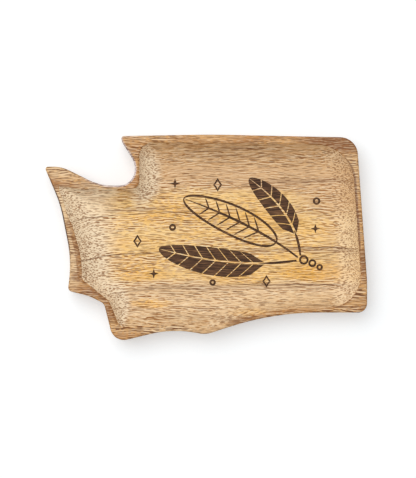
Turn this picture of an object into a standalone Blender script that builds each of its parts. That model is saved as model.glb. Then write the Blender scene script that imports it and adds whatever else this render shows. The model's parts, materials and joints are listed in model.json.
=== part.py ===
"""Trinket dish: one wooden board with an irregular outline and a coved recess in its top.

The board lies flat. Its outline is a list of corners rounded by arcs. The recess keeps a rim inside
that outline, and a cove falls from the rim to a flat floor. Lengths are in metres, +Z is up, and the
origin is the middle of the underside.
"""

import math
from typing import NamedTuple

import bmesh
import bpy
from mathutils import Vector

# Overall sizes
BOARD_LENGTH = 0.1270
BOARD_WIDTH = 0.0812
FLOOR_THICKNESS = 0.0057
RECESS_DEPTH = 0.0070
EDGE_RADIUS = 0.0008

# Notch at the upper left, and the horn beside it
NOTCH_SIDE = 0.0352
NOTCH_DEPTH = 0.0202
HORN_DROP = 0.0127
TIP_RADIUS = 0.0010

# Step at the lower left, and the wave along the south side
STEP_HEIGHT = 0.0194
SOUTH_RISE = 0.0108

# Rim widths
RIM_TOP = 0.0028
RIM_NOTCH_SIDE = 0.0016
RIM_NOTCH_FLOOR = 0.0012
RIM_HORN = 0.0014
RIM_WEST_BEND = 0.0020
RIM_WEST = 0.0038
RIM_STEP = 0.0034
RIM_SOUTH_WEST = 0.0045
RIM_SOUTH = 0.0018
RIM_EAST = 0.0022

# How far the cove runs inwards, from the rim to the flat floor
COVE_RUN = 0.0105
COVE_RUN_SOUTH = 0.0110
COVE_RUN_WEST = 0.0142

# Fineness of the arcs
ARC_STEPS = 6
SIDE_STEPS = 3
COVE_STEPS = 8
EDGE_STEPS = 3

# The arcs at a side's two ends take up no more than this share of it
ARC_SHARE = 0.96

# The recess cutter stands this far above the rim
CUTTER_RISE = 0.0020

# Points closer than this are one point, and sides that turn by less than this are one side
WELD_DISTANCE = 0.00001
STRAIGHT_ANGLE = math.radians(0.1)

# Only edges sharper than the first angle are rounded, and those sharper than the second are shaded as edges
ROUNDED_ANGLE = math.radians(60)
SHARP_ANGLE = math.radians(30)

# Oiled light hardwood
WOOD_COLOUR = (0.59, 0.38, 0.19, 1.0)
WOOD_ROUGHNESS = 0.55

BOARD_THICKNESS = FLOOR_THICKNESS + RECESS_DEPTH


class Corner(NamedTuple):
    """A corner of an outline, with the radius that rounds it."""

    x: float
    y: float
    radius: float


class RecessSide(NamedTuple):
    """A side of the recess, inside the side of the board between two of its corners."""

    start: str
    end: str
    rim_start: float
    rim_end: float
    radius: float
    run_x: float
    run_y: float
    floor_radius: float


# The board's corners, anticlockwise from above. x is from the west line, y from the south line
BOARD_CORNERS = {
    "north_east": Corner(BOARD_LENGTH - 0.0041, BOARD_WIDTH - 0.0012, 0.0071),
    "top_bend": Corner(0.0655, BOARD_WIDTH, 0.4000),
    "notch_tip": Corner(NOTCH_SIDE - 0.0055, BOARD_WIDTH - 0.0006, TIP_RADIUS),
    "notch_lip": Corner(NOTCH_SIDE - 0.0051, BOARD_WIDTH - 0.0030, 0.0030),
    "notch_side": Corner(NOTCH_SIDE, BOARD_WIDTH - 0.0112, 0.0080),
    "notch_corner": Corner(NOTCH_SIDE, BOARD_WIDTH - NOTCH_DEPTH, 0.0065),
    "notch_floor": Corner(NOTCH_SIDE - 0.0138, BOARD_WIDTH - NOTCH_DEPTH, 0.0220),
    "horn_bend": Corner(0.0063, BOARD_WIDTH - HORN_DROP, 0.0150),
    "horn_tip": Corner(-0.0006, BOARD_WIDTH - HORN_DROP, TIP_RADIUS),
    "west_upper": Corner(0.0057, BOARD_WIDTH - HORN_DROP - 0.0149, 0.0500),
    "west_lower": Corner(0.0101, STEP_HEIGHT + 0.0121, 0.0500),
    "west_corner": Corner(0.0087, STEP_HEIGHT, 0.0018),
    "step_bend": Corner(0.0169, STEP_HEIGHT - 0.0020, 0.0150),
    "step_corner": Corner(0.0230, STEP_HEIGHT - 0.0050, 0.0030),
    "south_west": Corner(0.0269, -0.0012, 0.0055),
    "south_hollow": Corner(0.0499, 0.0044, 0.0430),
    "south_point": Corner(0.0632, 0.0021, 0.0095),
    "south_bend": Corner(BOARD_LENGTH - 0.0367, SOUTH_RISE, 0.1150),
    "south_east": Corner(BOARD_LENGTH, SOUTH_RISE, 0.0036),
    "east_bend": Corner(BOARD_LENGTH, SOUTH_RISE + 0.0128, 0.0600),
}

# The recess's sides, anticlockwise. Each ends at a corner, which the floor's own corner is a run away from
RECESS_SIDES = (
    RecessSide("north_east", "notch_tip", RIM_TOP, RIM_TOP - 0.0006, 0.0055, COVE_RUN, -COVE_RUN, 0.0040),
    RecessSide("notch_side", "notch_corner", RIM_NOTCH_SIDE, RIM_NOTCH_SIDE, 0.0032,
               COVE_RUN, -COVE_RUN, 0.0120),
    RecessSide("notch_corner", "notch_floor", RIM_NOTCH_FLOOR, RIM_NOTCH_FLOOR, 0.0020,
               COVE_RUN_WEST + 0.0028, -COVE_RUN, 0.0050),
    RecessSide("horn_tip", "west_upper", RIM_HORN, RIM_WEST_BEND, 0.0500,
               COVE_RUN_WEST + 0.0020, -COVE_RUN, 0.0200),
    RecessSide("west_upper", "west_lower", RIM_WEST_BEND, RIM_WEST, 0.0400,
               COVE_RUN_WEST, 0.0, 0.0200),
    RecessSide("west_lower", "west_corner", RIM_WEST, RIM_WEST + 0.0014, 0.0018,
               COVE_RUN_WEST, 0.0003, 0.0030),
    RecessSide("step_bend", "step_corner", RIM_STEP, RIM_STEP - 0.0015, 0.0030, 0.0075, 0.0056, 0.0050),
    RecessSide("step_corner", "south_west", RIM_SOUTH_WEST - 0.0024, RIM_SOUTH_WEST, 0.0035,
               0.0050, COVE_RUN_SOUTH, 0.0040),
    RecessSide("south_west", "south_hollow", RIM_SOUTH_WEST + 0.0012, RIM_SOUTH, 0.0400,
               0.0002, COVE_RUN_SOUTH, 0.0500),
    RecessSide("south_hollow", "south_point", RIM_SOUTH, RIM_SOUTH, 0.0100,
               -0.0010, COVE_RUN_SOUTH, 0.0080),
    RecessSide("south_point", "south_bend", RIM_SOUTH, RIM_SOUTH, 0.1150,
               -0.0033, COVE_RUN, 0.1200),
    RecessSide("south_bend", "south_east", RIM_SOUTH, RIM_SOUTH, 0.0130,
               -COVE_RUN, COVE_RUN, 0.0050),
    RecessSide("east_bend", "north_east", RIM_EAST, RIM_EAST, 0.0120, -COVE_RUN, -COVE_RUN, 0.0050),
)


def clear_scene():
    """Remove whatever the scene holds."""
    for existing in list(bpy.data.objects):
        bpy.data.objects.remove(existing, do_unlink=True)


def corner_place(corner):
    """A corner's place in the plane."""
    return Vector((corner.x, corner.y))


def half_angle(before, corner, after):
    """Half of the angle between the two sides that meet at a corner."""
    return (before - corner).angle(after - corner) / 2


def fitted_reaches(places, radii):
    """How far each corner's arc reaches along its sides, cut down where two arcs would overlap."""
    count = len(places)
    reaches = []
    for index, place in enumerate(places):
        half = half_angle(places[index - 1], place, places[(index + 1) % count])
        reaches.append(radii[index] / math.tan(half))
    fitted = list(reaches)
    for index, place in enumerate(places):
        after = (index + 1) % count
        length = (places[after] - place).length
        share = min(1.0, ARC_SHARE * length / (reaches[index] + reaches[after]))
        fitted[index] = min(fitted[index], reaches[index] * share)
        fitted[after] = min(fitted[after], reaches[after] * share)
    return fitted


def corner_arc(before, corner, after, reach):
    """The points of the arc that rounds a corner, as equal steps from one side to the other."""
    half = half_angle(before, corner, after)
    radius = reach * math.tan(half)
    first = corner + (before - corner).normalized() * reach
    last = corner + (after - corner).normalized() * reach
    inwards = ((first + last) / 2 - corner).normalized()
    centre = corner + inwards * radius / math.sin(half)
    start = math.atan2(first.y - centre.y, first.x - centre.x)
    end = math.atan2(last.y - centre.y, last.x - centre.x)
    turn = (end - start + math.pi) % math.tau - math.pi
    angles = [start + turn * step / ARC_STEPS for step in range(ARC_STEPS + 1)]
    return [centre + Vector((math.cos(angle), math.sin(angle))) * radius for angle in angles]


def rounded_outline(corners, side_steps):
    """The closed outline through rounded corners, with each straight side cut into equal steps."""
    places = [corner_place(corner) for corner in corners]
    reaches = fitted_reaches(places, [corner.radius for corner in corners])
    count = len(places)
    arcs = [corner_arc(places[index - 1], place, places[(index + 1) % count], reaches[index])
            for index, place in enumerate(places)]
    outline = []
    for index, arc in enumerate(arcs):
        outline.extend(arc)
        side_end = arcs[(index + 1) % count][0]
        for step in range(1, side_steps):
            outline.append(arc[-1].lerp(side_end, step / side_steps))
    return outline


def moved_inwards(side):
    """The line of a recess side: the board's side with its two ends moved inwards by the rim."""
    start = corner_place(BOARD_CORNERS[side.start])
    end = corner_place(BOARD_CORNERS[side.end])
    along = (end - start).normalized()
    inwards = Vector((-along.y, along.x))
    return start + inwards * side.rim_start, end + inwards * side.rim_end


def crossing(line, other):
    """The point where two lines, each given by two points, meet."""
    along = line[1] - line[0]
    across = other[1] - other[0]
    share = (other[0] - line[0]).cross(across) / along.cross(across)
    return line[0] + along * share


def recess_outlines():
    """The recess's edge at the rim and its flat floor, as two outlines with matching points."""
    lines = [moved_inwards(side) for side in RECESS_SIDES]
    edge_corners = []
    floor_corners = []
    for index, side in enumerate(RECESS_SIDES):
        place = crossing(lines[index], lines[(index + 1) % len(lines)])
        edge_corners.append(Corner(place.x, place.y, side.radius))
        floor_corners.append(Corner(place.x + side.run_x, place.y + side.run_y, side.floor_radius))
    return rounded_outline(edge_corners, SIDE_STEPS), rounded_outline(floor_corners, SIDE_STEPS)


def outline_middle(outline):
    """The middle of an outline's box."""
    xs = [point.x for point in outline]
    ys = [point.y for point in outline]
    return Vector(((min(xs) + max(xs)) / 2, (min(ys) + max(ys)) / 2))


def cove_height(distance, run):
    """Height above the floor on an arc that leaves the floor level and meets the rim a run away."""
    radius = (run ** 2 + RECESS_DEPTH ** 2) / (2 * RECESS_DEPTH)
    return radius - math.sqrt(radius ** 2 - distance ** 2)


def make_collection(name):
    """A new collection in the scene."""
    collection = bpy.data.collections.new(name)
    bpy.context.scene.collection.children.link(collection)
    return collection


def wood_material():
    """Oiled light hardwood."""
    material = bpy.data.materials.new("oiled_wood")
    material.use_nodes = True
    shader = material.node_tree.nodes["Principled BSDF"]
    shader.inputs["Base Color"].default_value = WOOD_COLOUR
    shader.inputs["Roughness"].default_value = WOOD_ROUGHNESS
    shader.inputs["Metallic"].default_value = 0.0
    return material


def make_board(outline, middle, collection):
    """The board before its recess: the outline at full thickness."""
    curve = bpy.data.curves.new("board_outline", "CURVE")
    curve.dimensions = "2D"
    curve.fill_mode = "BOTH"
    curve.extrude = BOARD_THICKNESS / 2
    spline = curve.splines.new("POLY")
    spline.points.add(len(outline) - 1)
    for point, place in zip(spline.points, outline):
        point.co = (*(place - middle), 0.0, 1.0)
    spline.use_cyclic_u = True
    drawn = bpy.data.objects.new("board_outline", curve)
    drawn.location.z = BOARD_THICKNESS / 2
    collection.objects.link(drawn)

    bpy.context.view_layer.update()
    evaluated = drawn.evaluated_get(bpy.context.evaluated_depsgraph_get())
    mesh = bpy.data.meshes.new_from_object(evaluated)
    body = bmesh.new()
    body.from_mesh(mesh)
    bmesh.ops.remove_doubles(body, verts=body.verts, dist=WELD_DISTANCE)
    bmesh.ops.dissolve_limit(body, angle_limit=STRAIGHT_ANGLE, verts=[], edges=body.edges)
    bmesh.ops.recalc_face_normals(body, faces=body.faces)
    body.to_mesh(mesh)
    body.free()

    board = bpy.data.objects.new("dish_body", mesh)
    board.matrix_world = drawn.matrix_world
    collection.objects.link(board)
    bpy.data.objects.remove(drawn, do_unlink=True)
    mesh.name = "dish_body"
    mesh.materials.clear()
    mesh.materials.append(wood_material())
    return board


def round_edges(board):
    """Round the outer edges, above and below."""
    bevel = board.modifiers.new("rounded_edges", "BEVEL")
    bevel.width = EDGE_RADIUS
    bevel.segments = EDGE_STEPS
    bevel.limit_method = "ANGLE"
    bevel.angle_limit = ROUNDED_ANGLE
    bevel.use_clamp_overlap = False


def make_recess_cutter(middle, collection):
    """The recess as a solid: rows lofted from the floor's outline up the cove to the rim's."""
    edge, floor = recess_outlines()
    body = bmesh.new()
    rows = []
    for step in range(COVE_STEPS + 1):
        share = step / COVE_STEPS
        row = []
        for edge_point, floor_point in zip(edge, floor):
            run = (edge_point - floor_point).length
            height = FLOOR_THICKNESS + cove_height(share * run, run)
            row.append(body.verts.new((*(floor_point.lerp(edge_point, share) - middle), height)))
        rows.append(row)
    top = BOARD_THICKNESS + CUTTER_RISE
    rows.append([body.verts.new((vertex.co.x, vertex.co.y, top)) for vertex in rows[-1]])
    count = len(edge)
    for lower, upper in zip(rows, rows[1:]):
        for index in range(count):
            after = (index + 1) % count
            body.faces.new((lower[index], lower[after], upper[after], upper[index]))
    body.faces.new(list(reversed(rows[0])))
    body.faces.new(rows[-1])
    bmesh.ops.recalc_face_normals(body, faces=body.faces)

    mesh = bpy.data.meshes.new("recess_cutter")
    body.to_mesh(mesh)
    body.free()
    cutter = bpy.data.objects.new("recess_cutter", mesh)
    cutter.hide_render = True
    cutter.display_type = "WIRE"
    collection.objects.link(cutter)
    return cutter


def cut_recess(board, cutter):
    """Cut the recess out of the board."""
    cut = board.modifiers.new("recess", "BOOLEAN")
    cut.operation = "DIFFERENCE"
    cut.solver = "EXACT"
    cut.object = cutter


def build_dish():
    """Model the dish."""
    clear_scene()
    parts = make_collection("trinket_dish")
    cutters = make_collection("cutters")
    outline = rounded_outline(list(BOARD_CORNERS.values()), 1)
    middle = outline_middle(outline)
    board = make_board(outline, middle, parts)
    round_edges(board)
    cut_recess(board, make_recess_cutter(middle, cutters))
    board.data.shade_smooth()
    board.data.set_sharp_from_angle(angle=SHARP_ANGLE)


build_dish()
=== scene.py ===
"""The looks of a trinket dish: an oiled hardwood board with a coved recess and a design burnt into its floor.

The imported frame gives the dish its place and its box. The dish made here is the same board with a finer
surface: soft outer edges, a smooth cove, an eased recess edge and engraved feathers. Lengths are in metres,
and the design and the grain are drawn in millimetres, as their docstrings say. +Z is up, and the grain runs
along X.
"""

import json
import logging
import math
from dataclasses import dataclass
from enum import Enum
from typing import Callable

import bmesh
import bpy
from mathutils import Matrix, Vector

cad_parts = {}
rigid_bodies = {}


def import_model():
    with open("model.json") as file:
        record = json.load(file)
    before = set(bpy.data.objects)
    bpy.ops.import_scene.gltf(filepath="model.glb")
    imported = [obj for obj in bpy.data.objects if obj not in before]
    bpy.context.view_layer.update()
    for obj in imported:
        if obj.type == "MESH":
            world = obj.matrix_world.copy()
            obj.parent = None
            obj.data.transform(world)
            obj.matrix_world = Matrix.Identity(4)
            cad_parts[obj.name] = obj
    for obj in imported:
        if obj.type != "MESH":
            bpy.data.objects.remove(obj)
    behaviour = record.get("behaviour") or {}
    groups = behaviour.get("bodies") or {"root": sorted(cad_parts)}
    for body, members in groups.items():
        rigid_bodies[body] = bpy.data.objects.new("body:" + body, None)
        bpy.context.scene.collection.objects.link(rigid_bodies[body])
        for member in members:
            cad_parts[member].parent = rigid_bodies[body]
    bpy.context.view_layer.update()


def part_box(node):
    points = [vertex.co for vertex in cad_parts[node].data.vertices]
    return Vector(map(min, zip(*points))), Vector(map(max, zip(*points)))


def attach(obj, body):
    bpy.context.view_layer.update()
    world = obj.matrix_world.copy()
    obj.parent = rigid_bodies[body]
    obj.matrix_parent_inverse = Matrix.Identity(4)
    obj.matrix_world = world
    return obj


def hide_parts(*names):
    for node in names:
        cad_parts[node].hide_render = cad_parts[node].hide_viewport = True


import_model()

log = logging.getLogger("trinket_dish")

MM = 0.001
NEAR = 0.01 * MM
MERGE_DISTANCE = 0.001 * MM
FLAT_SIZE = 0.0001 * MM

Colour = tuple[float, float, float, float]
Value = float | bpy.types.NodeSocket
Place = tuple[Value, Value, Value]


def from_screen(red: int, green: int, blue: int) -> Colour:
    """A colour as a screen shows it, in the linear values that a shader takes.

    Args:
        red: Red from 0 to 255.
        green: Green from 0 to 255.
        blue: Blue from 0 to 255.

    Returns:
        The linear colour, with full alpha.
    """
    def channel(level: int) -> float:
        """One channel in linear light, by the sRGB curve."""
        share = level / 255
        return share / 12.92 if share <= 0.04045 else ((share + 0.055) / 1.055) ** 2.4

    return channel(red), channel(green), channel(blue), 1.0


def deselect_all() -> None:
    """Leave nothing selected, in object mode."""
    if bpy.context.mode != "OBJECT":
        bpy.ops.object.mode_set(mode="OBJECT")
    bpy.ops.object.select_all(action="DESELECT")


def make_active(piece: bpy.types.Object) -> None:
    """Make a piece the only selected object, and the active one."""
    deselect_all()
    piece.select_set(True)
    bpy.context.view_layer.objects.active = piece


def edit_all() -> None:
    """Go into edit mode with all of the active piece selected."""
    bpy.ops.object.mode_set(mode="EDIT")
    bpy.ops.mesh.select_all(action="SELECT")


def face_outwards() -> None:
    """Turn all faces of the piece that is in edit mode outwards, and leave edit mode."""
    bpy.ops.mesh.select_all(action="SELECT")
    bpy.ops.mesh.normals_make_consistent(inside=False)
    bpy.ops.object.mode_set(mode="OBJECT")


def select_edges(piece: bpy.types.Object, wanted: Callable[[bmesh.types.BMEdge], bool]) -> None:
    """Select edges of the piece that is in edit mode.

    Args:
        piece: The piece being edited.
        wanted: Says of an edge whether it is selected.
    """
    bpy.ops.mesh.select_mode(type="EDGE")
    bpy.ops.mesh.select_all(action="DESELECT")
    mesh = bmesh.from_edit_mesh(piece.data)
    mesh.verts.index_update()
    for edge in mesh.edges:
        edge.select_set(wanted(edge))
    mesh.select_flush_mode()
    bmesh.update_edit_mesh(piece.data)


@dataclass(frozen=True)
class Corner:
    """A corner of an outline seen from above, with the radius that rounds it."""

    x: float
    y: float
    radius: float

    @property
    def place(self) -> Vector:
        """The corner's place in the plane."""
        return Vector((self.x, self.y))


@dataclass(frozen=True)
class RoundedOutline:
    """A closed outline through corners that arcs round off."""

    corners: tuple[Corner, ...]
    arc_steps: int
    side_steps: int
    arc_share: float = 0.96

    def half_angle(self, index: int) -> float:
        """Half of the angle between the two sides that meet at a corner."""
        place = self.corners[index].place
        before = self.corners[index - 1].place - place
        after = self.corners[(index + 1) % len(self.corners)].place - place
        return before.angle(after) / 2

    def reaches(self) -> list[float]:
        """How far each arc reaches along its sides, cut down where two arcs would overlap.

        Returns:
            One length for each corner.
        """
        count = len(self.corners)
        full = [corner.radius / math.tan(self.half_angle(index))
                for index, corner in enumerate(self.corners)]
        fitted = list(full)
        for index, corner in enumerate(self.corners):
            after = (index + 1) % count
            length = (self.corners[after].place - corner.place).length
            share = min(1.0, self.arc_share * length / (full[index] + full[after]))
            fitted[index] = min(fitted[index], full[index] * share)
            fitted[after] = min(fitted[after], full[after] * share)
        return fitted

    def arc(self, index: int, reach: float) -> list[Vector]:
        """The points of the arc that rounds a corner.

        Args:
            index: Which corner.
            reach: How far the arc reaches along each of the two sides.

        Returns:
            The points in equal steps, from the side before the corner to the side after it.
        """
        corner = self.corners[index].place
        half = self.half_angle(index)
        before = (self.corners[index - 1].place - corner).normalized()
        after = (self.corners[(index + 1) % len(self.corners)].place - corner).normalized()
        first = corner + before * reach
        last = corner + after * reach
        radius = reach * math.tan(half)
        centre = corner + (before + after).normalized() * radius / math.sin(half)
        start = math.atan2(first.y - centre.y, first.x - centre.x)
        end = math.atan2(last.y - centre.y, last.x - centre.x)
        turn = (end - start + math.pi) % math.tau - math.pi
        angles = [start + turn * step / self.arc_steps for step in range(self.arc_steps + 1)]
        return [centre + Vector((math.cos(angle), math.sin(angle))) * radius for angle in angles]

    def points(self) -> list[Vector]:
        """The outline's points, with each straight side cut into equal steps."""
        reaches = self.reaches()
        arcs = [self.arc(index, reach) for index, reach in enumerate(reaches)]
        outline: list[Vector] = []
        for index, arc in enumerate(arcs):
            outline.extend(arc)
            side_end = arcs[(index + 1) % len(arcs)][0]
            outline.extend(arc[-1].lerp(side_end, step / self.side_steps)
                           for step in range(1, self.side_steps))
        return outline


@dataclass(frozen=True)
class RecessSide:
    """A side of the recess, which keeps a rim inside the board's side between two of its corners."""

    start: str
    end: str
    rim_start: float
    rim_end: float
    radius: float
    run_x: float
    run_y: float
    floor_radius: float


@dataclass(frozen=True)
class BoardPlan:
    """The dish seen from above: the board's outline, the recess's edge and its floor."""

    length: float = 0.1270
    width: float = 0.0812
    notch_side: float = 0.0352
    notch_depth: float = 0.0202
    horn_drop: float = 0.0127
    tip_radius: float = 0.0010
    step_height: float = 0.0194
    south_rise: float = 0.0108
    rim_top: float = 0.0028
    rim_notch_side: float = 0.0016
    rim_notch_floor: float = 0.0012
    rim_horn: float = 0.0014
    rim_west_bend: float = 0.0020
    rim_west: float = 0.0038
    rim_step: float = 0.0034
    rim_south_west: float = 0.0045
    rim_south: float = 0.0018
    rim_east: float = 0.0022
    cove_run: float = 0.0105
    cove_run_south: float = 0.0110
    cove_run_west: float = 0.0142
    arc_steps: int = 14
    outline_side_steps: int = 3
    recess_side_steps: int = 5

    def corners(self) -> dict[str, Corner]:
        """The board's corners by name, anticlockwise, from its west and south lines."""
        east = self.length
        north = self.width
        notch = self.notch_side
        notch_floor = north - self.notch_depth
        horn = north - self.horn_drop
        step = self.step_height
        south = self.south_rise
        return {
            "north_east": Corner(east - 0.0041, north - 0.0012, 0.0071),
            "top_bend": Corner(0.0655, north, 0.4000),
            "notch_tip": Corner(notch - 0.0055, north - 0.0006, self.tip_radius),
            "notch_lip": Corner(notch - 0.0051, north - 0.0030, 0.0030),
            "notch_side": Corner(notch, north - 0.0112, 0.0080),
            "notch_corner": Corner(notch, notch_floor, 0.0065),
            "notch_floor": Corner(notch - 0.0138, notch_floor, 0.0220),
            "horn_bend": Corner(0.0063, horn, 0.0150),
            "horn_tip": Corner(-0.0006, horn, self.tip_radius),
            "west_upper": Corner(0.0057, horn - 0.0149, 0.0500),
            "west_lower": Corner(0.0101, step + 0.0121, 0.0500),
            "west_corner": Corner(0.0087, step, 0.0018),
            "step_bend": Corner(0.0169, step - 0.0020, 0.0150),
            "step_corner": Corner(0.0230, step - 0.0050, 0.0030),
            "south_west": Corner(0.0269, -0.0012, 0.0055),
            "south_hollow": Corner(0.0499, 0.0044, 0.0430),
            "south_point": Corner(0.0632, 0.0021, 0.0095),
            "south_bend": Corner(east - 0.0367, south, 0.1150),
            "south_east": Corner(east, south, 0.0036),
            "east_bend": Corner(east, south + 0.0128, 0.0600),
        }

    def recess_sides(self) -> tuple[RecessSide, ...]:
        """The recess's sides, anticlockwise. Each ends at a corner, a run away from the floor's corner."""
        run = self.cove_run
        west = self.cove_run_west
        south = self.cove_run_south
        rim = self.rim_south
        return (
            RecessSide("north_east", "notch_tip", self.rim_top, self.rim_top - 0.0006,
                       0.0055, run, -run, 0.0040),
            RecessSide("notch_side", "notch_corner", self.rim_notch_side, self.rim_notch_side,
                       0.0032, run, -run, 0.0120),
            RecessSide("notch_corner", "notch_floor", self.rim_notch_floor, self.rim_notch_floor,
                       0.0020, west + 0.0028, -run, 0.0050),
            RecessSide("horn_tip", "west_upper", self.rim_horn, self.rim_west_bend,
                       0.0500, west + 0.0020, -run, 0.0200),
            RecessSide("west_upper", "west_lower", self.rim_west_bend, self.rim_west,
                       0.0400, west, 0.0, 0.0200),
            RecessSide("west_lower", "west_corner", self.rim_west, self.rim_west + 0.0014,
                       0.0018, west, 0.0003, 0.0030),
            RecessSide("step_bend", "step_corner", self.rim_step, self.rim_step - 0.0015,
                       0.0030, 0.0075, 0.0056, 0.0050),
            RecessSide("step_corner", "south_west", self.rim_south_west - 0.0024, self.rim_south_west,
                       0.0035, 0.0050, south, 0.0040),
            RecessSide("south_west", "south_hollow", self.rim_south_west + 0.0012, rim,
                       0.0400, 0.0002, south, 0.0500),
            RecessSide("south_hollow", "south_point", rim, rim, 0.0100, -0.0010, south, 0.0080),
            RecessSide("south_point", "south_bend", rim, rim, 0.1150, -0.0033, run, 0.1200),
            RecessSide("south_bend", "south_east", rim, rim, 0.0130, -run, run, 0.0050),
            RecessSide("east_bend", "north_east", self.rim_east, self.rim_east, 0.0155, -run, -run, 0.0060),
        )

    def outline(self) -> list[Vector]:
        """The board's outline, as points from its west and south lines."""
        corners = tuple(self.corners().values())
        return RoundedOutline(corners, self.arc_steps, self.outline_side_steps).points()

    def side_line(self, side: RecessSide) -> tuple[Vector, Vector]:
        """The line of a recess side: the board's side with its two ends moved inwards by the rim.

        Args:
            side: The recess side.

        Returns:
            Two points of the line.
        """
        corners = self.corners()
        start = corners[side.start].place
        end = corners[side.end].place
        along = (end - start).normalized()
        inwards = Vector((-along.y, along.x))
        return start + inwards * side.rim_start, end + inwards * side.rim_end

    def recess(self) -> tuple[list[Vector], list[Vector]]:
        """The recess seen from above.

        Returns:
            The edge at the rim and the flat floor's outline, as lists of matching points.
        """
        sides = self.recess_sides()
        lines = [self.side_line(side) for side in sides]
        edge: list[Corner] = []
        floor: list[Corner] = []
        for index, side in enumerate(sides):
            start, end = lines[index]
            next_start, next_end = lines[(index + 1) % len(lines)]
            across = next_end - next_start
            share = (next_start - start).cross(across) / (end - start).cross(across)
            place = start + (end - start) * share
            edge.append(Corner(place.x, place.y, side.radius))
            floor.append(Corner(place.x + side.run_x, place.y + side.run_y, side.floor_radius))
        return (RoundedOutline(tuple(edge), self.arc_steps, self.recess_side_steps).points(),
                RoundedOutline(tuple(floor), self.arc_steps, self.recess_side_steps).points())

    def middle(self) -> Vector:
        """The middle of the outline's box, which is the origin of the part."""
        outline = self.outline()
        xs = [point.x for point in outline]
        ys = [point.y for point in outline]
        return Vector(((min(xs) + max(xs)) / 2, (min(ys) + max(ys)) / 2))


@dataclass(frozen=True)
class Ramp:
    """A smooth step of a value: low up to its start and high from its end, which may be the smaller one."""

    start: float
    end: float
    low: float = 0.0
    high: float = 1.0


@dataclass(frozen=True)
class Cloud:
    """Smooth noise in the wood, by its waves to a millimetre along the grain and across it."""

    along: float
    across: float
    detail: float = 2.0
    roughness: float = 0.5
    shift: float = 0.0


@dataclass(frozen=True)
class Relief:
    """How strong a fine relief of the surface is, and its depth in millimetres."""

    strength: float
    depth: float


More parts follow.
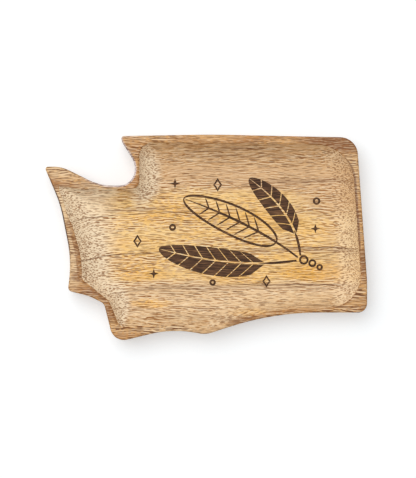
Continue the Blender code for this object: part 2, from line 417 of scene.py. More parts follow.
class NodeBench:
    """Adds nodes to a material and joins them. A value is a number or the output of another node."""

    def __init__(self, name: str) -> None:
        """Start a material.

        Args:
            name: The material's name.
        """
        self.material = bpy.data.materials.new(name)
        self.material.use_nodes = True
        self.nodes = self.material.node_tree.nodes
        self.links = self.material.node_tree.links
        self.shader = self.nodes["Principled BSDF"]

    def put(self, socket: bpy.types.NodeSocket, value: Value | Colour | Vector) -> None:
        """Give a socket a number or a colour, or join it to an output."""
        if isinstance(value, bpy.types.NodeSocket):
            self.links.new(value, socket)
        else:
            socket.default_value = value

    def parts(self, vector: bpy.types.NodeSocket) -> Place:
        """A vector's x, y and z."""
        node = self.nodes.new("ShaderNodeSeparateXYZ")
        self.links.new(vector, node.inputs[0])
        return tuple(node.outputs)

    def place_mm(self) -> Place:
        """The place on the piece, in millimetres."""
        node = self.nodes.new("ShaderNodeVectorMath")
        node.operation = "MULTIPLY"
        self.links.new(self.nodes.new("ShaderNodeTexCoord").outputs["Object"], node.inputs[0])
        node.inputs[1].default_value = (1 / MM, 1 / MM, 1 / MM)
        return self.parts(node.outputs[0])

    def facing(self) -> Place:
        """The way the surface faces, in the piece's own frame."""
        return self.parts(self.nodes.new("ShaderNodeTexCoord").outputs["Normal"])

    def vector(self, place: Place) -> bpy.types.NodeSocket:
        """A vector of three values."""
        node = self.nodes.new("ShaderNodeCombineXYZ")
        for socket, value in zip(node.inputs, place):
            self.put(socket, value)
        return node.outputs[0]

    def calc(self, operation: str, *values: Value) -> bpy.types.NodeSocket:
        """The result of a Math node.

        Args:
            operation: The node's operation.
            values: The one to three values that it takes.

        Returns:
            The node's output.
        """
        node = self.nodes.new("ShaderNodeMath")
        node.operation = operation
        for socket, value in zip(node.inputs, values):
            self.put(socket, value)
        return node.outputs[0]

    def step(self, value: Value, ramp: Ramp) -> bpy.types.NodeSocket:
        """A smooth step as a value goes along a ramp.

        Args:
            value: The value that is read.
            ramp: Where the step starts and ends, and how high it is.

        Returns:
            The node's output.
        """
        node = self.nodes.new("ShaderNodeMapRange")
        node.interpolation_type = "SMOOTHSTEP"
        for name, given in (("Value", value), ("From Min", ramp.start), ("From Max", ramp.end),
                            ("To Min", ramp.low), ("To Max", ramp.high)):
            self.put(node.inputs[name], given)
        return node.outputs["Result"]

    def product(self, *values: Value) -> Value:
        """Several values multiplied."""
        result = values[0]
        for value in values[1:]:
            result = self.calc("MULTIPLY", result, value)
        return result

    def noise(self, cloud: Cloud, place: Place) -> bpy.types.NodeSocket:
        """Smooth noise from 0 to 1 at a place in the wood."""
        x, y, z = place
        node = self.nodes.new("ShaderNodeTexNoise")
        node.noise_dimensions = "3D"
        stretched = (self.product(x, cloud.along), self.product(y, cloud.across),
                     self.calc("MULTIPLY_ADD", z, cloud.across, cloud.shift))
        for name, value in (("Vector", self.vector(stretched)), ("Scale", 1.0),
                            ("Detail", cloud.detail), ("Roughness", cloud.roughness)):
            self.put(node.inputs[name], value)
        return node.outputs["Fac"]

    def cells(self, place: Place) -> bpy.types.NodeSocket:
        """The distance to the nearest of scattered points, one to a unit of the place."""
        node = self.nodes.new("ShaderNodeTexVoronoi")
        node.voronoi_dimensions = "3D"
        node.feature = "F1"
        self.put(node.inputs["Vector"], self.vector(place))
        node.inputs["Scale"].default_value = 1.0
        return node.outputs["Distance"]

    def layered(self, tone: Value | Colour, *layers: tuple[Value, Value | Colour]) -> Value:
        """A colour with others laid over it.

        Args:
            tone: The colour at the bottom.
            layers: Each colour above it in turn, after the share that it covers.

        Returns:
            The mixed colour.
        """
        for share, colour in layers:
            node = self.nodes.new("ShaderNodeMix")
            node.data_type = "RGBA"
            for index, value in ((0, share), (6, tone), (7, colour)):
                self.put(node.inputs[index], value)
            tone = node.outputs[2]
        return tone

    def finished(self, tone: Value, height: Value, relief: Relief, roughness: Value,
                 specular: float) -> bpy.types.Material:
        """Join the looks to the shader.

        Args:
            tone: The surface's colour.
            height: The surface's fine height.
            relief: How strongly that height shows.
            roughness: The surface's roughness.
            specular: How strongly it reflects.

        Returns:
            The finished material.
        """
        bump = self.nodes.new("ShaderNodeBump")
        bump.inputs["Strength"].default_value = relief.strength
        bump.inputs["Distance"].default_value = relief.depth * MM
        self.put(bump.inputs["Height"], height)
        for name, value in (("Base Color", tone), ("Normal", bump.outputs["Normal"]),
                            ("Roughness", roughness), ("Specular IOR Level", specular)):
            self.put(self.shader.inputs[name], value)
        return self.material


@dataclass(frozen=True)
class GrainLine:
    """A line or band of darker wood along the grain, in millimetres."""

    y: float
    start: float
    end: float
    half_width: float
    strength: float


@dataclass(frozen=True)
class TonePatch:
    """A soft oval place where something is stronger, such as a tone, in millimetres."""

    x: float
    y: float
    half_length: float
    half_width: float
    strength: float
    core: float = 0.2
    rim: float = 1.6

    def share(self, x: float, y: float) -> float:
        """How strong the patch is at a place, from 0 to its strength."""
        square = ((x - self.x) / self.half_length) ** 2 + ((y - self.y) / self.half_width) ** 2
        fade = min(1.0, max(0.0, (self.rim - square) / (self.rim - self.core)))
        return self.strength * fade * fade * (3.0 - 2.0 * fade)

    def mark(self, bench: NodeBench, x: Value, y: Value) -> Value:
        """The same as share, worked out by a material's nodes."""
        along = bench.product(bench.calc("SUBTRACT", x, self.x), 1 / self.half_length)
        across = bench.product(bench.calc("SUBTRACT", y, self.y), 1 / self.half_width)
        square = bench.calc("MULTIPLY_ADD", along, along, bench.product(across, across))
        return bench.product(bench.step(square, Ramp(self.rim, self.core)), self.strength)


@dataclass(frozen=True)
class VesselLayer:
    """Open vessels of one size: long thin hollows in the wood, which a cut shows as dashes or as dots."""

    length: float
    spacing: float
    reach: float
    strength: float
    offset: float


@dataclass(frozen=True)
class WoodGrain:
    """The grain of the board, in millimetres, which its wood and its burnt places share."""

    wave: Cloud = Cloud(0.035, 0.11, 1.0)
    wave_height: float = 3.2
    ripple: Cloud = Cloud(0.16, 0.35, 1.0)
    ripple_height: float = 0.35
    ring_lean: float = 0.20
    ring_dip: float = 0.065
    dip_start: float = -15.0
    floor_height: float = 5.7
    fibre: Cloud = Cloud(0.27, 1.95, 0.0)
    fibre_gap: float = 0.26
    dash: Cloud = Cloud(0.75, 1.10, 0.0, shift=17.0)
    dash_strength: Ramp = Ramp(0.30, 0.70, 0.25, 1.75)
    thread: Cloud = Cloud(0.07, 0.80, 0.8)
    thread_edge: Ramp = Ramp(0.060, 0.015)
    thread_crowd: Cloud = Cloud(0.11, 0.9, 1.0, shift=40.0)
    thread_share: Ramp = Ramp(0.36, 0.54)
    vessel_crowd: Cloud = Cloud(0.03, 0.30)
    vessel_growth: Ramp = Ramp(0.3, 0.7, 0.82, 1.15)
    vessel_edge: Ramp = Ramp(1.0, 0.70)
    cut_growth: float = 0.35
    vessels: tuple[VesselLayer, ...] = (
        VesselLayer(8.0, 0.78, 0.24, 0.90, 0.0),
        VesselLayer(5.5, 0.70, 0.24, 0.80, 31.7),
        VesselLayer(12.0, 0.92, 0.20, 0.95, 67.3),
        VesselLayer(7.0, 0.84, 0.22, 0.85, 113.9),
    )

    def warped(self, bench: NodeBench, place: Place) -> Place:
        """The place in the wood, which the gentle waves of its grain move across the grain."""
        x, y, z = place
        slow = bench.calc("SUBTRACT", bench.noise(self.wave, place), 0.5)
        quick = bench.calc("SUBTRACT", bench.noise(self.ripple, place), 0.5)
        drift = bench.calc("MULTIPLY_ADD", quick, self.ripple_height, bench.product(slow, self.wave_height))
        return x, bench.calc("ADD", y, drift), z

    def ring(self, bench: NodeBench, place: Place) -> Value:
        """Which growth ring a place is in: the rings lean across the thickness, and dip towards the west."""
        x, y, z = place
        leaning = bench.calc("MULTIPLY_ADD", bench.calc("SUBTRACT", z, self.floor_height), self.ring_lean, y)
        west = bench.calc("MAXIMUM", bench.calc("SUBTRACT", self.dip_start, x), 0.0)
        return bench.calc("MULTIPLY_ADD", west, self.ring_dip, leaning)

    def fibres(self, bench: NodeBench, place: Place) -> Value:
        """The fine fibres along the grain, about 0.5: noise less its own next value across the grain.

        The difference leaves only the finest waves, so no wide soft bands mix with the fibres. The fibres
        come and go in dashes.

        Args:
            bench: The material's nodes.
            place: The place in the wood.

        Returns:
            More than 0.5 in a dark fibre and less in a pale one.
        """
        x, y, z = place
        first, second = (bench.noise(self.fibre, (x, bench.calc("ADD", y, offset), z))
                         for offset in (0.0, self.fibre_gap))
        swing = bench.product(bench.calc("SUBTRACT", first, second),
                              bench.step(bench.noise(self.dash, place), self.dash_strength))
        return bench.calc("ADD", swing, 0.5)

    def threads(self, bench: NodeBench, place: Place) -> Value:
        """Long thin dark threads along the grain, which are the level lines of stretched noise.

        Args:
            bench: The material's nodes.
            place: The place in the wood.

        Returns:
            0 between the threads to 1 on one.
        """
        off = bench.calc("ABSOLUTE", bench.calc("SUBTRACT", bench.noise(self.thread, place), 0.5))
        crowd = bench.noise(self.thread_crowd, place)
        return bench.product(bench.step(off, self.thread_edge), bench.step(crowd, self.thread_share))

    def vessel_marks(self, bench: NodeBench, place: Place, slope: Value) -> Value:
        """How much of the surface is open vessel.

        Args:
            bench: The material's nodes.
            place: The place in the wood.
            slope: How steeply the surface cuts the grain, from 0 to 1.

        Returns:
            0 on solid wood to 1 in a vessel.
        """
        x, y, z = place
        crowd = bench.noise(self.vessel_crowd, place)
        total: Value = 0.0
        for layer in self.vessels:
            distance = bench.cells((bench.calc("MULTIPLY_ADD", x, 1 / layer.length, layer.offset),
                                    bench.calc("MULTIPLY_ADD", y, 1 / layer.spacing, layer.offset),
                                    bench.product(z, 1 / layer.spacing)))
            reach = bench.product(bench.step(crowd, self.vessel_growth), layer.reach,
                                  bench.calc("MULTIPLY_ADD", slope, self.cut_growth, 1.0))
            mark = bench.step(bench.calc("DIVIDE", distance, reach), self.vessel_edge)
            total = bench.calc("MAXIMUM", total, bench.product(mark, layer.strength))
        return total


class WoodPlace(Enum):
    """The parts of the board whose wood has aged apart from each other, and which carry painted light and
    shade as well: painted light on the recess's shaded coves, a painted highlight on the rim at the notch's
    edge, and painted shade on the lip.
    """

    RECESS = "oiled_wood"
    RIM = "oiled_rim"
    LIP = "oiled_lip"


@dataclass(frozen=True)
class OiledWood:
    """Light hardwood with a golden heart, oiled, browner on its rim, and coved across its grain.

    Places and heights are in millimetres. A Ramp says over which values of a place, a noise or a slope
    something comes in, and how far.
    """

    grain: WoodGrain
    gold: Colour = from_screen(253, 211, 138)
    deep_gold: Colour = from_screen(250, 190, 88)
    tan: Colour = from_screen(224, 182, 132)
    pale_tan: Colour = from_screen(238, 202, 154)
    cream: Colour = from_screen(255, 233, 198)
    rim: Colour = from_screen(222, 170, 108)
    rim_brown: Colour = from_screen(192, 134, 74)
    rim_streak: Colour = from_screen(118, 72, 36)
    brown: Colour = from_screen(156, 102, 54)
    lip_brown: Colour = from_screen(172, 116, 60)
    streak: Colour = from_screen(166, 108, 50)
    vessel: Colour = from_screen(112, 66, 32)
    speck: Colour = from_screen(148, 102, 64)
    grey: Colour = from_screen(152, 114, 82)
    dark_line: Colour = from_screen(112, 68, 34)
    edge_line: Colour = from_screen(110, 66, 40)
    dark_rim: Colour = from_screen(60, 40, 34)
    # Painted highlight: the pale reflection on the notch's rounded edge.
    painted_highlight: Colour = from_screen(222, 208, 208)
    roughness: float = 0.52
    lines: tuple[GrainLine, ...] = (
        GrainLine(34.9, -8.0, 8.0, 0.35, 0.60),
        GrainLine(33.1, 0.0, 16.0, 0.35, 0.60),
        GrainLine(32.1, -18.0, -4.0, 0.30, 0.50),
        GrainLine(30.1, 2.0, 18.0, 0.30, 0.50),
        GrainLine(10.2, -64.0, 16.0, 0.40, 0.85),
        GrainLine(-3.9, 28.0, 62.0, 0.55, 1.00),
        GrainLine(-5.7, -62.0, -8.0, 0.40, 0.90),
        GrainLine(-11.9, -46.0, -18.0, 0.35, 0.35),
        GrainLine(-18.6, 4.0, 62.0, 0.48, 0.95),
        GrainLine(-20.6, -42.0, 8.0, 0.40, 0.75),
        GrainLine(-26.3, 30.0, 70.0, 0.40, 0.65),
        GrainLine(-27.6, -20.0, 10.0, 0.35, 0.60),
    )
    bands: tuple[GrainLine, ...] = (
        GrainLine(35.8, 2.0, 26.0, 1.4, 0.80),
        GrainLine(32.6, -16.0, 52.0, 1.2, 0.60),
        GrainLine(24.6, -76.0, -26.0, 2.0, 0.65),
        GrainLine(26.3, -20.0, 20.0, 0.8, 0.40),
        GrainLine(22.6, 20.0, 62.0, 1.6, 0.80),
        GrainLine(16.4, -40.0, -12.0, 0.8, 0.50),
        GrainLine(12.1, -44.0, -14.0, 1.3, 0.90),
        GrainLine(-4.8, 4.0, 66.0, 1.3, 0.90),
        GrainLine(-19.8, -40.0, 62.0, 1.1, 0.60),
        GrainLine(-31.0, -30.0, 20.0, 1.4, 0.50),
    )
    golden: tuple[TonePatch, ...] = (
        TonePatch(-26.0, -14.5, 11.0, 3.2, 0.65),
        TonePatch(-14.0, 8.0, 14.0, 4.0, 0.55),
        TonePatch(24.0, 6.0, 16.0, 5.0, 0.55),
        TonePatch(44.0, -14.0, 16.0, 3.6, 1.00),
        TonePatch(-22.0, -26.4, 8.0, 1.8, 0.80),
        TonePatch(18.0, -30.0, 8.0, 1.8, 0.45),
    )
    # Painted light, which lifts the coves that lie in shade below the north rim, under the notch and at the
    # step.
    painted_warm_light: tuple[TonePatch, ...] = (TonePatch(-37.0, 17.4, 10.0, 3.0, 0.35),)
    painted_light: tuple[TonePatch, ...] = (
        TonePatch(-50.0, 17.4, 11.0, 3.4, 0.90),
        TonePatch(-26.0, 22.0, 4.5, 12.0, 0.65),
        TonePatch(-36.0, -27.0, 5.0, 9.0, 0.85),
        TonePatch(-42.0, 18.0, 7.0, 2.4, 0.60),
    )
    paler: tuple[TonePatch, ...] = (
        TonePatch(-6.0, -36.5, 20.0, 5.0, 0.55),
        TonePatch(-56.0, 26.0, 9.0, 3.4, 0.60),
        TonePatch(-57.0, 12.0, 5.0, 7.0, 1.0),
        TonePatch(-52.6, -9.0, 3.6, 12.0, 0.80),
        TonePatch(-43.0, 20.2, 8.0, 1.8, 0.60),
        TonePatch(58.0, 26.0, 6.0, 10.0, 0.35),
    )
    duller: tuple[TonePatch, ...] = (
        TonePatch(50.0, 20.0, 16.0, 12.0, 0.85),
        TonePatch(14.0, 36.0, 60.0, 5.0, 0.50),
        TonePatch(-29.0, -9.4, 10.0, 2.0, 0.35),
    )
    browner: tuple[TonePatch, ...] = (
        TonePatch(62.0, -9.5, 1.2, 6.0, 0.9),
        TonePatch(-53.0, 6.0, 2.5, 1.6, 0.7),
        TonePatch(-50.8, -15.5, 2.6, 1.9, 0.8),
        TonePatch(-44.0, -21.5, 5.0, 1.6, 0.8),
        TonePatch(-37.8, -29.0, 2.4, 4.0, 0.7),
        TonePatch(15.0, -33.0, 8.0, 1.8, 0.7),
        TonePatch(54.0, 38.0, 18.0, 5.0, 1.0),
    )
    lip_shade: tuple[TonePatch, ...] = (
        TonePatch(-50.0, -7.0, 10.0, 13.0, 0.80),
        TonePatch(-42.0, -29.0, 9.0, 12.0, 0.70),
        TonePatch(-27.0, 24.0, 4.0, 14.0, 0.45),
        TonePatch(57.0, 8.0, 6.0, 26.0, 0.80),
        TonePatch(54.0, -26.0, 12.0, 5.0, 0.90),
    )
    # Where the painted highlight lies, on the notch's rounded edge.
    painted_highlight_edge: tuple[TonePatch, ...] = (TonePatch(-34.0, 27.0, 14.0, 13.0, 0.95),)
    dark_edge: tuple[TonePatch, ...] = (TonePatch(-57.0, 9.0, 9.0, 17.0, 1.0),)
    line_fade: float = 0.25
    blotches: Cloud = Cloud(0.045, 0.16)
    blotch_drift: float = 6.0
    blotch_gold: Ramp = Ramp(0.35, 0.68, 0.0, 0.6)
    north_tan: Ramp = Ramp(16.0, 21.0)
    south_tan: Ramp = Ramp(-15.5, -19.5)
    west_cream: Ramp = Ramp(-31.0, -44.0, 0.0, 0.85)
    east_tan: Ramp = Ramp(40.0, 54.0, 0.0, 0.45)
    cove_cream: Ramp = Ramp(20.0, -30.0, 0.40, 1.0)
    rim_blotch: Ramp = Ramp(0.35, 0.65)
    above_sides: Ramp = Ramp(3.0, 8.9)
    lip_east: Ramp = Ramp(20.0, 40.0)
    lip_north: Ramp = Ramp(-14.0, -2.0)
    upper_edge: Ramp = Ramp(11.5, 12.0)
    dark_turn: Ramp = Ramp(0.995, 0.88)
    painted_highlight_turn: Ramp = Ramp(0.999, 0.95)
    steepness: Ramp = Ramp(0.06, 0.40)
    steep_loss: float = 0.35
    patches: Cloud = Cloud(0.035, 0.28, shift=80.0)
    patch_level: Ramp = Ramp(0.34, 0.66, 0.54, 1.22)
    dark_fibre: Ramp = Ramp(0.50, 0.64)
    dark_share: float = 0.80
    pale_fibre: Ramp = Ramp(0.50, 0.36)
    recess_shine: float = 0.50
    rim_shine: float = 0.40
    thread_slope: Ramp = Ramp(0.7, 0.1)
    thread_share: float = 0.22
    band_fibre: Ramp = Ramp(0.38, 0.60, 0.35, 0.85)
    line_fibre: Ramp = Ramp(0.36, 0.52, 0.60, 1.0)
    vessel_share: float = 0.72
    cut_vessel_gain: float = 0.15
    relief: Relief = Relief(0.35, 0.12)
    fibre_height: float = 0.35
    vessel_roughness: float = 0.25
    specular: float = 0.35

    @staticmethod
    def strongest(bench: NodeBench, patches: tuple[TonePatch, ...], x: Value, y: Value) -> Value:
        """How strong the strongest of some patches is at a place."""
        total: Value = 0.0
        for patch in patches:
            total = bench.calc("MAXIMUM", total, patch.mark(bench, x, y))
        return total

    def line_marks(self, bench: NodeBench, lines: tuple[GrainLine, ...], x: Value, ring: Value) -> Value:
        """How strong some growth lines are at a place, from 0 to 1."""
        total: Value = 0.0
        for line in lines:
            off = bench.calc("ABSOLUTE", bench.calc("SUBTRACT", ring, line.y))
            fade = (line.end - line.start) * self.line_fade
            mark = bench.product(bench.step(off, Ramp(line.half_width, 0.0)),
                                 bench.step(x, Ramp(line.start, line.start + fade)),
                                 bench.step(x, Ramp(line.end, line.end - fade)), line.strength)
            total = bench.calc("MAXIMUM", total, mark)
        return total

    def recess_tone(self, bench: NodeBench, x: Value, y: Value, ring: Value,
                    blotch: Value, slope: Value) -> Value:
        """The wood's colour inside the recess, before its lines and vessels, with painted light that lifts
        its shaded coves.
        """
        across = bench.calc("MULTIPLY_ADD", bench.calc("SUBTRACT", blotch, 0.5), self.blotch_drift, ring)
        return bench.layered(
            self.gold,
            (bench.step(blotch, self.blotch_gold), self.deep_gold),
            (bench.step(across, self.north_tan), self.tan),
            (bench.step(across, self.south_tan), self.pale_tan),
            (self.strongest(bench, self.golden, x, y), self.deep_gold),
            (bench.step(x, self.west_cream), self.cream),
            (bench.step(x, self.east_tan), self.pale_tan),
            (bench.product(slope, bench.step(x, self.cove_cream)), self.cream),
            (self.strongest(bench, self.duller, x, y), self.tan),
            # Painted light on the shaded coves.
            (self.strongest(bench, self.painted_warm_light, x, y), self.gold),
            (self.strongest(bench, self.painted_light, x, y), self.cream))

    def rim_tone(self, bench: NodeBench, place: WoodPlace, spot: Place,
                 blotch: Value, face_z: Value) -> Value:
        """The colour on the rim, its rounded edge or its lip, before its lines and vessels: the wood's tone,
        with painted shade on the lip, a darker west edge and a painted highlight on the notch's edge.
        """
        x, y, z = spot
        high = bench.step(z, self.above_sides)
        tone = bench.layered(
            self.rim,
            (bench.step(blotch, self.rim_blotch), self.rim_brown),
            (bench.product(high, self.strongest(bench, self.paler, x, y)), self.pale_tan),
            (bench.product(high, self.strongest(bench, self.browner, x, y)), self.brown))
        if place is WoodPlace.LIP:
            dark = bench.product(bench.step(x, self.lip_east), bench.step(y, self.lip_north))
            shade = bench.layered(self.lip_brown, (dark, self.edge_line))
            return bench.layered(tone, (self.strongest(bench, self.lip_shade, x, y), shade))
        # The west outer edge is painted darker, and the notch's rounded edge gets a painted highlight.
        upper = bench.step(z, self.upper_edge)
        for turn, patches, colour in ((self.dark_turn, self.dark_edge, self.dark_rim),
                                      (self.painted_highlight_turn, self.painted_highlight_edge, self.painted_highlight)):
            share = bench.product(upper, bench.step(face_z, turn), self.strongest(bench, patches, x, y))
            tone = bench.layered(tone, (share, colour))
        return tone

    def material(self, place: WoodPlace) -> bpy.types.Material:
        """The oiled wood of one part of the board.

        Args:
            place: Which part of the board it is for.

        Returns:
            A material that reads the place in the wood, so that a cut shows the grain of that place.
        """
        bench = NodeBench(place.value)
        spot = bench.place_mm()
        wood = self.grain.warped(bench, spot)
        ring = self.grain.ring(bench, wood)
        face_x, _, face_z = bench.facing()
        slope = bench.step(bench.calc("ABSOLUTE", face_x), self.steepness)
        blotch = bench.noise(self.blotches, spot)
        fibres = self.grain.fibres(bench, wood)
        vessels = self.grain.vessel_marks(bench, wood, slope)
        if place is WoodPlace.RECESS:
            tone = self.recess_tone(bench, spot[0], spot[1], ring, blotch, slope)
            streak = self.streak
            pore = bench.layered(self.vessel, (slope, self.speck))
            shine = self.recess_shine
        else:
            tone = self.rim_tone(bench, place, spot, blotch, face_z)
            streak = self.rim_streak
            pore = self.rim_streak
            shine = self.rim_shine

        level = bench.product(bench.calc("MULTIPLY_ADD", slope, -self.steep_loss, 1.0),
                              bench.step(bench.noise(self.patches, wood), self.patch_level))
        threads = bench.product(self.grain.threads(bench, wood), bench.step(slope, self.thread_slope))
        band = self.line_marks(bench, self.bands, wood[0], ring)
        line = self.line_marks(bench, self.lines, wood[0], ring)
        clear = bench.calc("MULTIPLY_ADD", bench.calc("MAXIMUM", slope, band),
                           self.cut_vessel_gain, self.vessel_share)
        tone = bench.layered(
            tone,
            (bench.product(bench.step(fibres, self.dark_fibre), level, self.dark_share), streak),
            (bench.product(bench.step(fibres, self.pale_fibre), level, shine), self.cream),
            (bench.product(threads, self.thread_share), pore),
            (bench.product(band, bench.step(fibres, self.band_fibre)), self.grey),
            (bench.product(line, bench.step(fibres, self.line_fibre)), self.dark_line),
            (bench.product(vessels, clear), pore))
        height = bench.calc("MULTIPLY_ADD", vessels, -1.0, bench.product(fibres, self.fibre_height))
        roughness = bench.calc("MULTIPLY_ADD", vessels, self.vessel_roughness, self.roughness)
        return bench.finished(tone, height, self.relief, roughness, self.specular)


@dataclass(frozen=True)
class BurntWood:
    """Wood burnt dark brown, with its grain showing through as lighter streaks."""

    grain: WoodGrain
    char: Colour = from_screen(62, 40, 26)
    scorched: Colour = from_screen(110, 76, 50)
    bare_streak: Colour = from_screen(158, 118, 82)
    streaks: Cloud = Cloud(0.16, 2.2, 3.0, 0.6)
    scorching: Ramp = Ramp(0.40, 0.62)
    baring: Ramp = Ramp(0.58, 0.74, 0.0, 0.8)
    relief: Relief = Relief(0.4, 0.08)
    roughness: float = 0.72
    specular: float = 0.25

    def material(self) -> bpy.types.Material:
        """The burnt wood."""
        bench = NodeBench("burnt_wood")
        streaks = bench.noise(self.streaks, self.grain.warped(bench, bench.place_mm()))
        tone = bench.layered(self.char, (bench.step(streaks, self.scorching), self.scorched),
                             (bench.step(streaks, self.baring), self.bare_streak))
        return bench.finished(tone, streaks, self.relief, self.roughness, self.specular)


class VaneFinish(Enum):
    """How a feather's vane is engraved."""

    BURNT = "burnt dark"
    DRAWN = "drawn in lines"


class MarkShape(Enum):
    """The small marks strewn round the feathers."""

    RING = "ring"
    DIAMOND = "diamond"
    CROSS = "cross"


@dataclass(frozen=True)
class Stroke:
    """A burnt line, in millimetres, which may thin out towards its two ends."""

    points: tuple[Vector, ...]
    half_width: float
    closed: bool = False
    start_share: float = 0.5
    end_share: float = 0.3
    centre_height: float = 0.25
    taper_share: float = 0.3
    bevel_steps: int = 4

    def half_width_at(self, share: float) -> float:
        """The line's half width, a share of the way along it."""
        if self.closed:
            return self.half_width
        from_start = min(1.0, share / self.taper_share)
        from_end = min(1.0, (1.0 - share) / self.taper_share)
        start = self.start_share + (1.0 - self.start_share) * from_start
        end = self.end_share + (1.0 - self.end_share) * from_end
        return self.half_width * min(start, end)

    def cutter(self, floor: float) -> bpy.types.Object:
        """A round bar along the line, whose underside cuts the groove.

        Args:
            floor: The height of the surface that is cut, in metres.

        Returns:
            The bar, as a closed mesh.
        """
        curve = bpy.data.curves.new("groove", "CURVE")
        curve.dimensions = "3D"
        curve.bevel_depth = MM
        curve.bevel_resolution = self.bevel_steps
        curve.use_fill_caps = True
        spline = curve.splines.new("POLY")
        spline.points.add(len(self.points) - 1)
        height = floor + self.centre_height * MM
        for index, (point, place) in enumerate(zip(spline.points, self.points)):
            half_width = self.half_width_at(index / (len(self.points) - 1))
            point.co = (place.x * MM, place.y * MM, height, 1.0)
            point.radius = math.hypot(half_width, self.centre_height)
        spline.use_cyclic_u = self.closed
        bar = bpy.data.objects.new("groove", curve)
        bpy.context.scene.collection.objects.link(bar)
        make_active(bar)
        bpy.ops.object.convert(target="MESH")
        edit_all()
        bpy.ops.mesh.remove_doubles(threshold=MERGE_DISTANCE)
        face_outwards()
        return bar


@dataclass(frozen=True)
class Pocket:
    """A shallow area burnt out between lines, in millimetres."""

    points: tuple[Vector, ...]
    depth: float = 0.22
    clearance: float = 0.5

    def cutter(self, floor: float) -> bpy.types.Object:
        """A block of the pocket's outline.

        Args:
            floor: The height of the surface that is cut, in metres.

        Returns:
            The block, as a closed mesh.
        """
        deselect_all()
        bpy.ops.mesh.primitive_circle_add(vertices=len(self.points), radius=MM, fill_type="NGON")
        block = bpy.context.object
        bottom = floor - self.depth * MM
        for vertex, place in zip(block.data.vertices, self.points):
            vertex.co = (place.x * MM, place.y * MM, bottom)
        rise = (self.depth + self.clearance) * MM
        edit_all()
        bpy.ops.mesh.extrude_region_move(TRANSFORM_OT_translate={"value": (0.0, 0.0, rise)})
        face_outwards()
        return block


